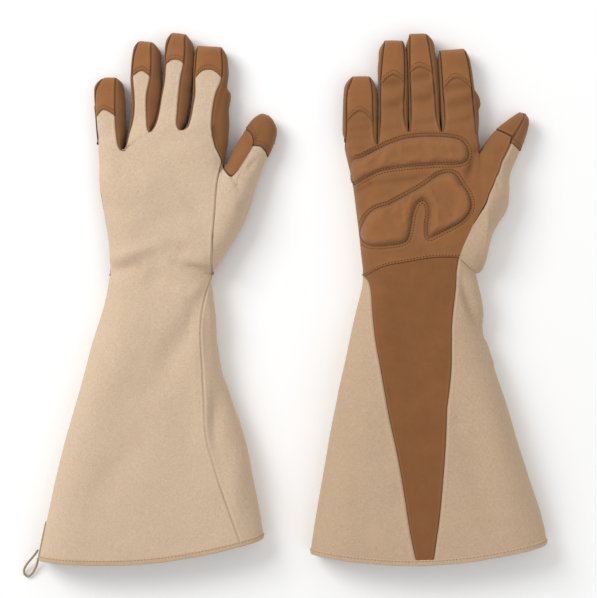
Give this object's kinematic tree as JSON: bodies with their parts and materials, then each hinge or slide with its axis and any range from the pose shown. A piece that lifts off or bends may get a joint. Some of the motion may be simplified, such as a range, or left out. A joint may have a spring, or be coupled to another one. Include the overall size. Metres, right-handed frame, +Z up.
{
  "type": "gauntlet gardening gloves",
  "caption": "Pair of elbow-length rose gloves in beige canvas and brown synthetic suede, with padded palm, boxed fingertips and flared cuff, lying flat.",
  "frame": {"origin": "on the surface the gloves lie on, below the middle of the pair", "axes": "+Y to the fingertips, +Z up, +X to the viewer's right, the thumb side of both gloves; the left glove lies back up at -X and the right glove palm up at +X"},
  "size_m": [0.4212, 0.4386, 0.0376],
  "materials": {
    "canvas": "heathered beige canvas, matt",
    "suede": "tan-brown synthetic suede with a short nap",
    "dark_suede": "dark brown synthetic suede",
    "loop_cord": "thin woven brown cord"
  },
  "bodies": {
    "left_cuff": {"left_cuff_back_panel": "canvas", "left_cuff_palm_stripe": "dark_suede", "left_cuff_pinky_side_panel": "canvas", "left_cuff_thumb_side_panel": "canvas", "left_hang_loop": "loop_cord", "left_hem_binding": "canvas"},
    "left_hand": {"left_crotch_patch": "suede", "left_hand_back_panel": "canvas", "left_hand_palm_panel": "suede", "left_heel_pad": "suede", "left_upper_pad": "suede"},
    "left_index": {"left_index_back": "canvas", "left_index_front": "suede", "left_index_gusset": "suede", "left_index_tip_cap": "suede"},
    "left_middle": {"left_middle_back": "canvas", "left_middle_front": "suede", "left_middle_gusset": "suede", "left_middle_tip_cap": "suede"},
    "left_ring": {"left_ring_back": "canvas", "left_ring_front": "suede", "left_ring_gusset": "suede", "left_ring_tip_cap": "suede"},
    "left_pinky": {"left_pinky_back": "canvas", "left_pinky_front": "suede", "left_pinky_gusset": "suede", "left_pinky_tip_cap": "suede"},
    "left_thumb": {"left_thumb_back": "canvas", "left_thumb_front": "suede", "left_thumb_tip_cap": "suede"},
    "right_cuff": {"right_cuff_back_panel": "canvas", "right_cuff_palm_stripe": "dark_suede", "right_cuff_pinky_side_panel": "canvas", "right_cuff_thumb_side_panel": "canvas", "right_hem_binding": "canvas"},
    "right_hand": {"right_crotch_patch": "suede", "right_hand_back_panel": "canvas", "right_hand_palm_panel": "suede", "right_heel_pad": "suede", "right_upper_pad": "suede"},
    "right_index": {"right_index_back": "canvas", "right_index_front": "suede", "right_index_gusset": "suede", "right_index_tip_cap": "suede"},
    "right_middle": {"right_middle_back": "canvas", "right_middle_front": "suede", "right_middle_gusset": "suede", "right_middle_tip_cap": "suede"},
    "right_ring": {"right_ring_back": "canvas", "right_ring_front": "suede", "right_ring_gusset": "suede", "right_ring_tip_cap": "suede"},
    "right_pinky": {"right_pinky_back": "canvas", "right_pinky_front": "suede", "right_pinky_gusset": "suede", "right_pinky_tip_cap": "suede"},
    "right_thumb": {"right_thumb_back": "canvas", "right_thumb_front": "suede", "right_thumb_tip_cap": "suede"}
  },
  "joints": [
    {"name": "right_glove_slide", "type": "slide", "parent": "left_cuff", "child": "right_cuff", "axis": [1, 0, 0], "range_m": [0, 0.3]},
    {"name": "left_wrist_flex", "type": "hinge", "parent": "left_cuff", "child": "left_hand", "pos_m": [-0.106, 0.0184, 0], "axis": [-0.9983, -0.0576, 0], "range_deg": [0, 75]},
    {"name": "left_index_flex", "type": "hinge", "parent": "left_hand", "child": "left_index", "pos_m": [-0.0696, 0.1336, 0], "axis": [-0.9979, 0.0645, 0], "range_deg": [0, 90]},
    {"name": "left_middle_flex", "type": "hinge", "parent": "left_hand", "child": "left_middle", "pos_m": [-0.102, 0.1336, 0], "axis": [-0.9907, 0.1357, 0], "range_deg": [0, 90]},
    {"name": "left_ring_flex", "type": "hinge", "parent": "left_hand", "child": "left_ring", "pos_m": [-0.1245, 0.1272, 0], "axis": [-0.9959, 0.0906, 0], "range_deg": [0, 90]},
    {"name": "left_pinky_flex", "type": "hinge", "parent": "left_hand", "child": "left_pinky", "pos_m": [-0.1454, 0.12, 0], "axis": [-0.9998, -0.0209, 0], "range_deg": [0, 90]},
    {"name": "left_thumb_flex", "type": "hinge", "parent": "left_hand", "child": "left_thumb", "pos_m": [-0.0548, 0.1072, 0], "axis": [0.1106, 0.9939, 0], "range_deg": [0, 60]},
    {"name": "right_wrist_flex", "type": "hinge", "parent": "right_cuff", "child": "right_hand", "pos_m": [0.0996, 0.0212, 0.034], "axis": [0.9932, 0.1167, 0], "range_deg": [0, 75]},
    {"name": "right_index_flex", "type": "hinge", "parent": "right_hand", "child": "right_index", "pos_m": [0.1334, 0.1328, 0.024], "axis": [0.9965, 0.0837, 0], "range_deg": [0, 90]},
    {"name": "right_middle_flex", "type": "hinge", "parent": "right_hand", "child": "right_middle", "pos_m": [0.1048, 0.1328, 0.024], "axis": [0.9997, 0.0244, 0], "range_deg": [0, 90]},
    {"name": "right_ring_flex", "type": "hinge", "parent": "right_hand", "child": "right_ring", "pos_m": [0.0798, 0.1272, 0.024], "axis": [0.9999, -0.0105, 0], "range_deg": [0, 90]},
    {"name": "right_pinky_flex", "type": "hinge", "parent": "right_hand", "child": "right_pinky", "pos_m": [0.054, 0.12, 0.024], "axis": [1, -0.007, 0], "range_deg": [0, 90]},
    {"name": "right_thumb_flex", "type": "hinge", "parent": "right_hand", "child": "right_thumb", "pos_m": [0.148, 0.1176, 0.03], "axis": [-0.0439, -0.999, 0], "range_deg": [0, 60]}
  ]
}
